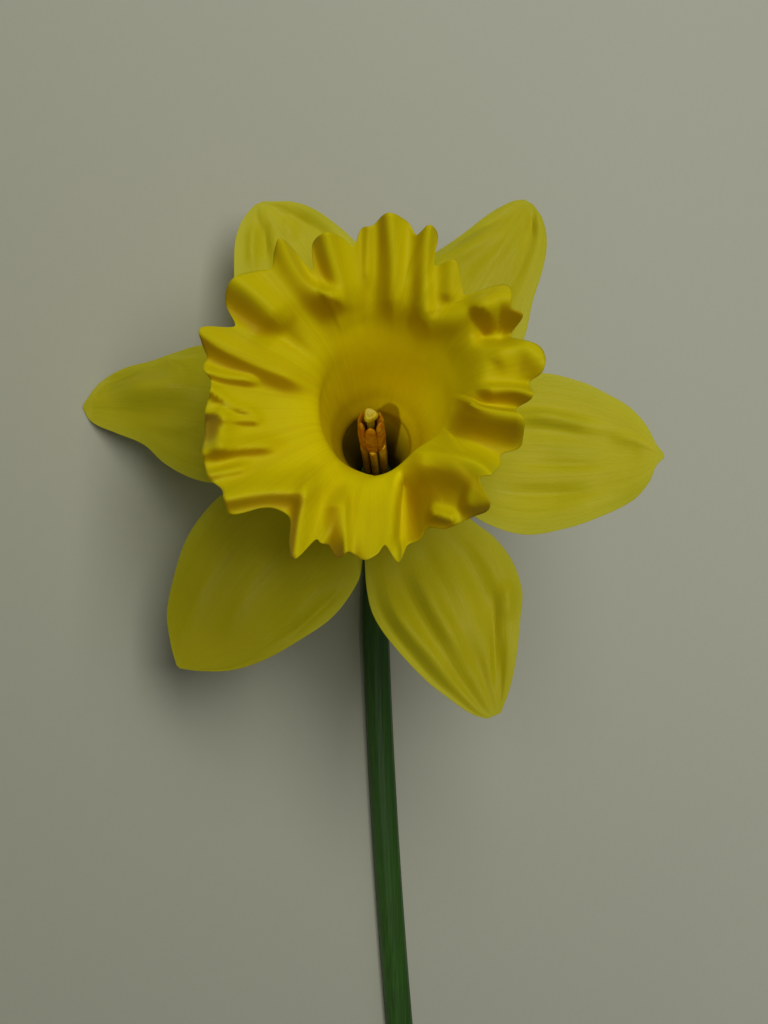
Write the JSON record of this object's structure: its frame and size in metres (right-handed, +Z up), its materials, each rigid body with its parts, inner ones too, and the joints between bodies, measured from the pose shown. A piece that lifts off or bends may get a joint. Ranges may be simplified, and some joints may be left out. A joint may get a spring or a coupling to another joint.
{
  "type": "daffodil flower",
  "caption": "Cut trumpet daffodil lying on its side: frilled yellow trumpet over spreading pointed tepals, on a green stem with a dry papery spathe.",
  "frame": {"origin": "middle of the bounding box's underside, on the surface that the cut flower lies on", "axes": "+Z up from the surface, +Y along the stem from its cut end towards the bloom; the trumpet looks up and towards -X"},
  "size_m": [0.0906, 0.2286, 0.0824],
  "materials": {
    "tepals": "thin soft petal, satin, lengthwise veins, lets light through",
    "corona": "deep yellow petal, satin, fine lengthwise veins",
    "stem": "waxy green stalk with faint ridges",
    "tube": "satin, green below turning yellow above",
    "spathe": "dry papery sheath with brown veins",
    "anthers": "powdery orange pollen",
    "style": "pale moist stigma and style"
  },
  "bodies": {
    "root": {"stem": "stem", "spathe": "spathe", "ovary": "stem", "flower_tube": "tube", "tepal_inner_left": "tepals", "tepal_outer_upper_left": "tepals", "tepal_inner_upper_right": "tepals", "tepal_outer_right": "tepals", "tepal_inner_lower_right": "tepals", "tepal_outer_lower_left": "tepals", "trumpet": "corona", "stamens": "anthers", "style": "style"}
  },
  "joints": []
}
